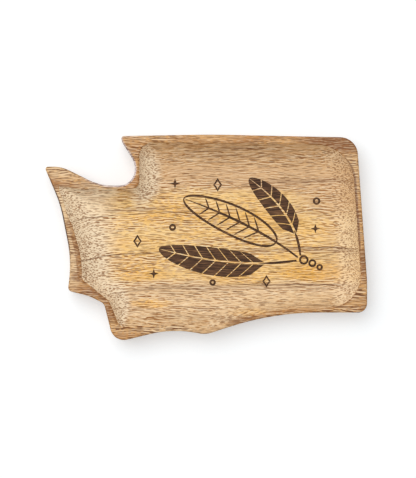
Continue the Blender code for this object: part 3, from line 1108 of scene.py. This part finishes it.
@dataclass(frozen=True)
class Feather:
    """A feather, in millimetres: a quill along a bent spine, with a vane on both of its sides."""

    base: tuple[float, float]
    bend: tuple[float, float]
    tip: tuple[float, float]
    half_width: float
    finish: VaneFinish
    barbs: int = 8
    quill_share: float = 0.24
    quill_reach: float = 0.06
    first_barb: float = 0.02
    first_drawn_barb: float = 0.14
    lean: float = 0.14
    spine_gap: float = 0.9
    barb_gap: float = 0.45
    narrow_side: float = 0.82
    line: float = 0.46
    thin_line: float = 0.32
    quill_width: float = 1.1
    swell: float = 2.05
    foot_power: float = 0.5
    tip_power: float = 0.55
    barb_reach: float = 0.86
    quill_steps: int = 24
    edge_steps: int = 48
    barb_steps: int = 6
    tuft_steps: int = 8

    def spine(self, share: float) -> Vector:
        """A point of the spine, a share of the way from its base to its tip."""
        first = Vector(self.base).lerp(Vector(self.bend), share)
        second = Vector(self.bend).lerp(Vector(self.tip), share)
        return first.lerp(second, share)

    def side(self, share: float) -> Vector:
        """The direction square to the spine, to its left."""
        first = Vector(self.base).lerp(Vector(self.bend), share)
        second = Vector(self.bend).lerp(Vector(self.tip), share)
        along = (second - first).normalized()
        return Vector((-along.y, along.x))

    def vane_width(self, share: float, hand: int) -> float:
        """How far the vane reaches from the spine, a share of the way from its foot to its tip."""
        swell = self.swell * share ** self.foot_power * max(0.0, 1.0 - share) ** self.tip_power
        return self.half_width * swell * (1.0 if hand > 0 else self.narrow_side)

    def on_vane(self, start: float, out: float, hand: int) -> Vector:
        """A place on a barb, which leans towards the feather's tip.

        Args:
            start: Where the barb leaves the spine, from 0 at the vane's foot to 1 at the tip.
            out: How far out on the barb, from 0 beside the spine to 1 at the vane's edge.
            hand: 1 for the left vane, and -1 for the right one.

        Returns:
            The place, in millimetres.
        """
        end = min(1.0, start + self.lean * math.sqrt(1.0 - start))
        place = start + (end - start) * out
        bare = self.spine_gap / 2 * math.sqrt(1.0 - place)
        offset = bare + (self.vane_width(end, hand) - bare) * out
        share = self.quill_share + (1.0 - self.quill_share) * place
        return self.spine(share) + self.side(share) * hand * offset

    def on_edge(self, share: float, hand: int) -> Vector:
        """A place on the vane's edge, a share of the way from its foot to its tip."""
        along = self.quill_share + (1.0 - self.quill_share) * share
        return self.spine(along) + self.side(along) * hand * self.vane_width(share, hand)

    def barb_places(self) -> list[float]:
        """Where the barbs leave the spine, up to the one that ends at the tip."""
        last = 1.0 - self.lean ** 2
        reach = last - self.first_barb
        return [self.first_barb + reach * index / self.barbs for index in range(self.barbs + 1)]

    def quill(self) -> Stroke:
        """The quill, from the feather's base to its tip, or a little into the vane if that is burnt."""
        end = 1.0 if self.finish is VaneFinish.DRAWN else self.quill_share + self.quill_reach
        points = tuple(self.spine(end * index / self.quill_steps) for index in range(self.quill_steps + 1))
        return Stroke(points, self.line * self.quill_width, start_share=0.7, end_share=0.2)

    def drawn_vane(self, hand: int) -> list[Stroke]:
        """The edge and the barbs of a vane that is drawn in lines."""
        shares = [0.5 - 0.5 * math.cos(math.pi * index / self.edge_steps)
                  for index in range(self.edge_steps + 1)]
        edge = tuple(self.on_edge(share, hand) for share in shares)
        strokes = [Stroke(edge, self.line, start_share=0.6, end_share=0.5, taper_share=0.15)]
        for start in self.barb_places()[:-2]:
            if start < self.first_drawn_barb:
                continue
            barb = tuple(self.on_vane(start, index / self.barb_steps * self.barb_reach, hand)
                         for index in range(self.barb_steps + 1))
            strokes.append(Stroke(barb, self.thin_line, start_share=1.0, end_share=0.3))
        return strokes

    def burnt_vane(self, hand: int) -> list[Pocket]:
        """The tufts of a vane that is burnt dark, with bare lines between them."""
        length = (Vector(self.tip) - Vector(self.base)).length * (1.0 - self.quill_share)
        gap = self.barb_gap / length
        places = self.barb_places()
        outwards = [index / self.barb_steps for index in range(1, self.barb_steps)]
        tufts = []
        for start, end in zip(places, places[1:]):
            first = start + gap / 2
            last = end - gap / 2 if end < places[-1] else end
            steps = [first + (last - first) * index / self.tuft_steps for index in range(self.tuft_steps + 1)]
            inner = [self.on_vane(step, 0.0, hand) for step in steps]
            tip_side = [self.on_vane(last, out, hand) for out in outwards]
            outer = [self.on_vane(step, 1.0, hand) for step in reversed(steps)]
            foot_side = [self.on_vane(first, 1.0 - out, hand) for out in outwards]
            tufts.append(Pocket(tuple(inner + tip_side + outer + foot_side)))
        return tufts

    def engraving(self) -> list[Stroke | Pocket]:
        """All that is burnt for the feather."""
        parts: list[Stroke | Pocket] = [self.quill()]
        for hand in (1, -1):
            if self.finish is VaneFinish.DRAWN:
                parts.extend(self.drawn_vane(hand))
            else:
                parts.extend(self.burnt_vane(hand))
        return parts


@dataclass(frozen=True)
class Mark:
    """A small burnt mark, in millimetres."""

    shape: MarkShape
    x: float
    y: float
    size: float
    ring_line: float = 0.42
    ring_steps: int = 20
    diamond_line: float = 0.34
    diamond_side_steps: int = 4
    waist: float = 0.62
    hollow: float = 0.5
    cross_line: float = 0.62
    cross_steps: int = 8

    def ring(self) -> list[Stroke]:
        """A ring of the mark's size."""
        angles = [math.tau * step / self.ring_steps for step in range(self.ring_steps)]
        points = [Vector((self.x + self.size * math.cos(angle), self.y + self.size * math.sin(angle)))
                  for angle in angles]
        return [Stroke(tuple(points), self.ring_line, closed=True)]

    def diamond(self) -> list[Stroke]:
        """A standing diamond with slightly hollow sides."""
        waist = self.size * self.waist
        corners = [Vector((0.0, self.size)), Vector((-waist, 0.0)),
                   Vector((0.0, -self.size)), Vector((waist, 0.0))]
        middle = Vector((self.x, self.y))
        points = []
        for corner, after in zip(corners, corners[1:] + corners[:1]):
            for step in range(self.diamond_side_steps):
                share = step / self.diamond_side_steps
                dent = 1.0 - self.hollow * share * (1.0 - share)
                points.append(middle + corner.lerp(after, share) * dent)
        return [Stroke(tuple(points), self.diamond_line, closed=True)]

    def cross(self) -> list[Stroke]:
        """Two crossed strokes, thin at their ends."""
        middle = Vector((self.x, self.y))
        strokes = []
        for reach in (Vector((0.0, self.size)), Vector((self.size, 0.0))):
            points = tuple((middle - reach).lerp(middle + reach, step / self.cross_steps)
                           for step in range(self.cross_steps + 1))
            strokes.append(Stroke(points, self.cross_line, start_share=0.1, end_share=0.1, taper_share=0.5))
        return strokes

    def engraving(self) -> list[Stroke]:
        """All that is burnt for the mark."""
        made = {MarkShape.RING: self.ring, MarkShape.DIAMOND: self.diamond, MarkShape.CROSS: self.cross}
        return made[self.shape]()


@dataclass(frozen=True)
class FeatherDesign:
    """The burnt design: three feathers tied together, with small marks strewn round them."""

    feathers: tuple[Feather, ...] = (
        Feather((36.0, -9.2), (12.0, -13.0), (-19.0, -4.5), 6.2, VaneFinish.BURNT, barbs=8),
        Feather((36.5, -8.0), (20.0, 5.0), (-9.0, 15.5), 6.4, VaneFinish.DRAWN, barbs=9),
        Feather((37.5, -7.2), (36.0, 10.0), (17.0, 23.5), 5.2, VaneFinish.BURNT, barbs=6),
    )
    marks: tuple[Mark, ...] = (
        Mark(MarkShape.RING, 38.9, -9.0, 1.5),
        Mark(MarkShape.RING, 42.3, -10.3, 1.2),
        Mark(MarkShape.RING, 45.2, -11.9, 0.9),
        Mark(MarkShape.DIAMOND, -27.5, -1.5, 2.3),
        Mark(MarkShape.CROSS, -21.0, -14.5, 1.9),
        Mark(MarkShape.RING, -13.5, 4.0, 1.0),
        Mark(MarkShape.CROSS, -12.5, 21.5, 2.0),
        Mark(MarkShape.DIAMOND, 4.5, 21.0, 2.4),
        Mark(MarkShape.RING, 44.0, 14.5, 1.1),
        Mark(MarkShape.CROSS, 43.5, 3.5, 1.8),
        Mark(MarkShape.DIAMOND, 24.0, -17.5, 2.2),
        Mark(MarkShape.RING, 2.5, -18.0, 0.9),
    )

    def cutters(self, floor: float) -> bpy.types.Collection:
        """The tools that cut the whole design.

        Args:
            floor: The height of the recess's floor, in metres.

        Returns:
            A collection of closed meshes.
        """
        tools = bpy.data.collections.new("engraving_tools")
        bpy.context.scene.collection.children.link(tools)
        for motif in (*self.feathers, *self.marks):
            for part in motif.engraving():
                tool = part.cutter(floor)
                for holder in list(tool.users_collection):
                    holder.objects.unlink(tool)
                tools.objects.link(tool)
        return tools


@dataclass
class DishBody:
    """The dish: one board with a coved recess, burnt with a design and dressed in oiled wood."""

    plan: BoardPlan
    design: FeatherDesign
    wood: OiledWood
    burnt: BurntWood
    floor_thickness: float = 0.0057
    recess_depth: float = 0.0070
    edge_radius: float = 0.0008
    edge_segments: int = 6
    eased_edge: float = 0.00035
    wide_lip: float = 0.0016
    rim_flat: float = 0.00015
    lip_drop: float = 0.00025
    wide_lips: tuple[TonePatch, ...] = (
        TonePatch(-50.0, -7.0, 9.0, 13.0, 1.0),
        TonePatch(-42.0, -29.0, 8.0, 10.0, 1.0),
        TonePatch(-27.0, 25.0, 3.0, 8.0, 0.35),
        TonePatch(58.0, 10.0, 5.0, 22.0, 0.30),
    )
    thin_rims: tuple[TonePatch, ...] = (TonePatch(-58.0, 14.0, 6.0, 9.0, 1.0),)
    cove_swing: float = math.radians(60)
    cove_steps: int = 26
    ease_steps: int = 6
    sharp_angle: float = math.radians(30)
    name: str = "dish_body_surface"

    @property
    def thickness(self) -> float:
        """The board's thickness."""
        return self.floor_thickness + self.recess_depth

    def build(self) -> bpy.types.Object:
        """Model and dress the dish.

        Returns:
            The finished piece.
        """
        piece = self.make_board()
        first = len(piece.data.vertices)
        self.make_recess(piece)
        self.fit_to_frame(piece)
        self.dress(piece, first)
        self.engrave(piece)
        self.smooth(piece)
        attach(piece, "root")
        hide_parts("dish_body")
        return piece

    def make_board(self) -> bpy.types.Object:
        """The outline at full thickness, with rounded edges and an open top."""
        middle = self.plan.middle()
        outline = self.plan.outline()
        deselect_all()
        radius = self.plan.length / 2
        bpy.ops.mesh.primitive_circle_add(vertices=len(outline), radius=radius, fill_type="NGON")
        piece = bpy.context.object
        piece.name = self.name
        piece.data.name = self.name
        for vertex, place in zip(piece.data.vertices, outline):
            vertex.co = (*(place - middle), 0.0)
        edit_all()
        bpy.ops.mesh.extrude_region_move(TRANSFORM_OT_translate={"value": (0.0, 0.0, self.thickness)})
        bpy.ops.mesh.select_all(action="SELECT")
        bpy.ops.mesh.normals_make_consistent(inside=False)
        select_edges(piece, lambda edge: abs(edge.verts[0].co.z - edge.verts[1].co.z) < MM)
        bpy.ops.mesh.bevel(offset=self.edge_radius, segments=self.edge_segments, clamp_overlap=False)
        self.select_top_face(piece)
        bpy.ops.mesh.delete(type="ONLY_FACE")
        bpy.ops.object.mode_set(mode="OBJECT")
        return piece

    def select_top_face(self, piece: bpy.types.Object) -> None:
        """Select the face that closes the board's top."""
        bpy.ops.mesh.select_mode(type="FACE")
        bpy.ops.mesh.select_all(action="DESELECT")
        mesh = bmesh.from_edit_mesh(piece.data)
        top = max(mesh.faces, key=lambda face: face.calc_center_median().z)
        top.select = True
        bmesh.update_edit_mesh(piece.data)

    @staticmethod
    def rim_width(place: Vector, outline: list[Vector]) -> float:
        """How far a place on top of the board is from the board's outline.

        Args:
            place: The place, seen from above.
            outline: The board's outline.

        Returns:
            The distance to the nearest side of the outline.
        """
        widths = []
        for start, end in zip(outline, outline[1:] + outline[:1]):
            along = end - start
            share = min(1.0, max(0.0, (place - start).dot(along) / along.length_squared))
            widths.append((place - start - along * share).length)
        return min(widths)

    @staticmethod
    def zone_share(zones: tuple[TonePatch, ...], place: Vector) -> float:
        """How strong the strongest of some zones is at a place, seen from above."""
        return max(zone.share(place.x / MM, place.y / MM) for zone in zones)

    def recess_rows(self) -> list[list[Vector]]:
        """The rows of points of the recess.

        Returns:
            Rows from the rim, round the eased edge and down the cove, to the floor.
        """
        middle = self.plan.middle()
        outline = self.plan.outline()
        edge, floor = self.plan.recess()
        depth = self.recess_depth
        full_rise = 1 - math.cos(self.cove_swing)
        strands = []
        for edge_point, floor_point in zip(edge, floor):
            foot = Vector((*(floor_point - middle), self.floor_thickness))
            corner = Vector((*(edge_point - middle), self.thickness))
            out = Vector((corner.x - foot.x, corner.y - foot.y, 0.0)).normalized()
            wide = self.zone_share(self.wide_lips, corner)
            thin = self.zone_share(self.thin_rims, corner)
            room = self.rim_width(edge_point, outline) - self.edge_radius - self.rim_flat
            shift = max(0.0, room - self.eased_edge) * thin
            corner += out * shift
            run = (corner.xy - foot.xy).length
            radius = (run ** 2 + depth ** 2) / (2 * depth)
            lip = min(self.eased_edge + (self.wide_lip - self.eased_edge) * wide, room - shift)
            on_rim = corner + out * lip
            corner.z -= self.lip_drop * wide
            eased_height = corner.z - self.floor_thickness - self.eased_edge * run / radius
            cove = []
            for step in range(self.cove_steps, -1, -1):
                swing = self.cove_swing * step / self.cove_steps
                height = eased_height * (1 - math.cos(swing)) / full_rise
                reach = math.sqrt(max(0.0, 2 * radius * height - height ** 2))
                cove.append(foot + out * reach + Vector((0.0, 0.0, height)))
            eased = []
            for step in range(self.ease_steps):
                share = step / self.ease_steps
                eased.append(on_rim.lerp(corner, share).lerp(corner.lerp(cove[0], share), share))
            strands.append(eased + cove)
        return [list(row) for row in zip(*strands)]

    def make_recess(self, piece: bpy.types.Object) -> None:
        """Fill the rim, and bridge the recess's rows down to its floor."""
        rows = self.recess_rows()
        count = len(rows[0])
        first = len(piece.data.vertices)
        make_active(piece)
        bpy.ops.object.mode_set(mode="EDIT")
        for index, row in enumerate(rows):
            self.add_ring(piece, row)
            if index == 0:
                rim_height = self.thickness - NEAR
                select_edges(piece, lambda edge: len(edge.link_faces) < 2
                             and min(vertex.co.z for vertex in edge.verts) > rim_height)
                bpy.ops.mesh.fill(use_beauty=True)
                continue
            start = first + (index - 1) * count
            select_edges(piece, lambda edge: self.in_one_row(edge, start, count))
            bpy.ops.mesh.bridge_edge_loops()
        start = first + (len(rows) - 1) * count
        select_edges(piece, lambda edge: self.in_one_row(edge, start, count))
        bpy.ops.mesh.edge_face_add()
        face_outwards()

    @staticmethod
    def add_ring(piece: bpy.types.Object, row: list[Vector]) -> None:
        """Add a ring of edges through a row of points to the piece that is in edit mode."""
        bpy.ops.mesh.primitive_circle_add(vertices=len(row), radius=MM, fill_type="NOTHING")
        mesh = bmesh.from_edit_mesh(piece.data)
        mesh.verts.ensure_lookup_table()
        for vertex, place in zip(mesh.verts[-len(row):], row):
            vertex.co = place
        bmesh.update_edit_mesh(piece.data)

    @staticmethod
    def in_one_row(edge: bmesh.types.BMEdge, start: int, count: int) -> bool:
        """Whether an edge lies along one of the rows that follow a vertex number."""
        first, second = ((vertex.index - start) // count for vertex in edge.verts)
        return first == second and first >= 0

    def fit_to_frame(self, piece: bpy.types.Object) -> None:
        """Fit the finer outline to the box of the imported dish."""
        low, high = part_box("dish_body")
        for axis in (0, 1):
            places = [vertex.co[axis] for vertex in piece.data.vertices]
            start = min(places)
            length = max(places) - start
            for vertex in piece.data.vertices:
                share = (vertex.co[axis] - start) / length
                vertex.co[axis] = low[axis] + share * (high[axis] - low[axis])

    def dress(self, piece: bpy.types.Object, first: int) -> None:
        """Give the recess, the rim, the lip between them and the burnt design their finishes.

        Args:
            piece: The piece, before it is engraved.
            first: The number of its first vertex that belongs to the recess's rows.
        """
        piece.data.materials.clear()
        for place in WoodPlace:
            piece.data.materials.append(self.wood.material(place))
        piece.data.materials.append(self.burnt.material())
        places = list(WoodPlace)
        count = len(self.recess_rows()[0])
        for face in piece.data.polygons:
            row = min((number - first) // count for number in face.vertices)
            if row >= self.ease_steps:
                place = WoodPlace.RECESS
            elif row >= 0 and max(face.vertices) >= first + count:
                place = WoodPlace.LIP
            else:
                place = WoodPlace.RIM
            face.material_index = places.index(place)

    def engrave(self, piece: bpy.types.Object) -> None:
        """Cut the design into the floor, and leave the cut faces burnt."""
        tools = self.design.cutters(self.floor_thickness)
        for tool in tools.objects:
            tool.data.materials.clear()
            for material in piece.data.materials:
                tool.data.materials.append(material)
            for face in tool.data.polygons:
                face.material_index = len(WoodPlace)
        make_active(piece)
        cut = piece.modifiers.new("engraving", "BOOLEAN")
        cut.operation = "DIFFERENCE"
        # The exact solver leaves gaps where the fine strokes cross, and every mesh here is closed.
        cut.solver = "MANIFOLD"
        cut.operand_type = "COLLECTION"
        cut.collection = tools
        bpy.ops.object.modifier_apply(modifier=cut.name)
        edit_all()
        bpy.ops.mesh.dissolve_degenerate(threshold=FLAT_SIZE)
        bpy.ops.object.mode_set(mode="OBJECT")
        for tool in list(tools.objects):
            bpy.data.objects.remove(tool, do_unlink=True)
        bpy.data.collections.remove(tools)

    def smooth(self, piece: bpy.types.Object) -> None:
        """Shade the round surfaces smooth and keep the flat ones flat."""
        make_active(piece)
        bpy.ops.object.shade_smooth_by_angle(angle=self.sharp_angle)
        weigh = piece.modifiers.new("even_flats", "WEIGHTED_NORMAL")
        weigh.keep_sharp = True
        bpy.ops.object.modifier_apply(modifier=weigh.name)


@dataclass
class Studio:
    """A white table under soft light from the upper left, seen from straight above."""

    camera_height: float = 0.6527
    camera_x: float = 0.000655
    camera_y: float = -0.000647
    lens: float = 122.1
    sensor: float = 36.0
    clip_start: float = 0.01
    table_size: float = 6.0
    table_glow: float = 0.38
    table_colour: Colour = (0.70, 0.725, 0.74, 1.0)
    matt_colour: Colour = (0.80, 0.80, 0.80, 1.0)
    lamp_place: tuple[float, float, float] = (-0.24, 0.30, 0.94)
    lamp_size: float = 0.80
    lamp_power: float = 6.5
    sky_strength: float = 0.46

    def build(self) -> None:
        """Set the camera, the table and the light."""
        self.set_camera()
        self.lay_table()
        self.hang_lamp()
        self.light_sky()
        bpy.context.scene.view_settings.view_transform = "Standard"

    def set_camera(self) -> None:
        """Look straight down, with +Y to the top of the picture."""
        deselect_all()
        bpy.ops.object.camera_add(location=(self.camera_x, self.camera_y, self.camera_height))
        camera = bpy.context.object
        camera.name = "camera"
        camera.data.lens = self.lens
        camera.data.sensor_width = self.sensor
        camera.data.clip_start = self.clip_start
        bpy.context.scene.camera = camera

    def lay_table(self) -> None:
        """A plain white table that keeps the dish's soft shadow, and glows only where it is seen."""
        deselect_all()
        bpy.ops.mesh.primitive_plane_add(size=self.table_size, location=(0.0, 0.0, 0.0))
        table = bpy.context.object
        table.name = "table"
        bench = NodeBench("white_table")
        nodes = bench.nodes
        nodes.clear()
        output = nodes.new("ShaderNodeOutputMaterial")
        path = nodes.new("ShaderNodeLightPath").outputs
        matt = nodes.new("ShaderNodeBsdfDiffuse")
        seen = nodes.new("ShaderNodeBsdfDiffuse")
        glow = nodes.new("ShaderNodeEmission")
        both = nodes.new("ShaderNodeAddShader")
        mixed = nodes.new("ShaderNodeMixShader")
        direct = bench.calc("MAXIMUM", path["Is Camera Ray"], path["Is Glossy Ray"])
        clear = bench.calc("MAXIMUM", direct, path["Is Transmission Ray"])
        for socket, value in ((matt.inputs["Color"], self.matt_colour),
                              (seen.inputs["Color"], self.table_colour),
                              (glow.inputs["Strength"], self.table_glow),
                              (both.inputs[0], seen.outputs[0]),
                              (both.inputs[1], glow.outputs[0]),
                              (mixed.inputs[0], clear),
                              (mixed.inputs[1], matt.outputs[0]),
                              (mixed.inputs[2], both.outputs[0]),
                              (output.inputs["Surface"], mixed.outputs[0])):
            bench.put(socket, value)
        table.data.materials.append(bench.material)

    def hang_lamp(self) -> None:
        """A large soft lamp to the upper left."""
        deselect_all()
        bpy.ops.object.light_add(type="AREA", location=self.lamp_place)
        lamp = bpy.context.object
        lamp.name = "soft_lamp"
        lamp.data.shape = "SQUARE"
        lamp.data.size = self.lamp_size
        lamp.data.energy = self.lamp_power
        lamp.rotation_euler = (-Vector(self.lamp_place)).to_track_quat("-Z", "Y").to_euler()

    def light_sky(self) -> None:
        """Even white light from all round."""
        world = bpy.data.worlds.new("sky")
        world.use_nodes = True
        background = world.node_tree.nodes["Background"]
        background.inputs["Color"].default_value = (1.0, 1.0, 1.0, 1.0)
        background.inputs["Strength"].default_value = self.sky_strength
        bpy.context.scene.world = world


def main() -> None:
    """Build the studio and the dish in order, and report each piece."""
    logging.basicConfig(level=logging.INFO, format="%(name)s: %(message)s")
    Studio().build()
    log.info("studio set")
    grain = WoodGrain()
    dish = DishBody(BoardPlan(), FeatherDesign(), OiledWood(grain), BurntWood(grain)).build()
    log.info("%s: %d faces", dish.name, len(dish.data.polygons))


if __name__ == "__main__":
    main()
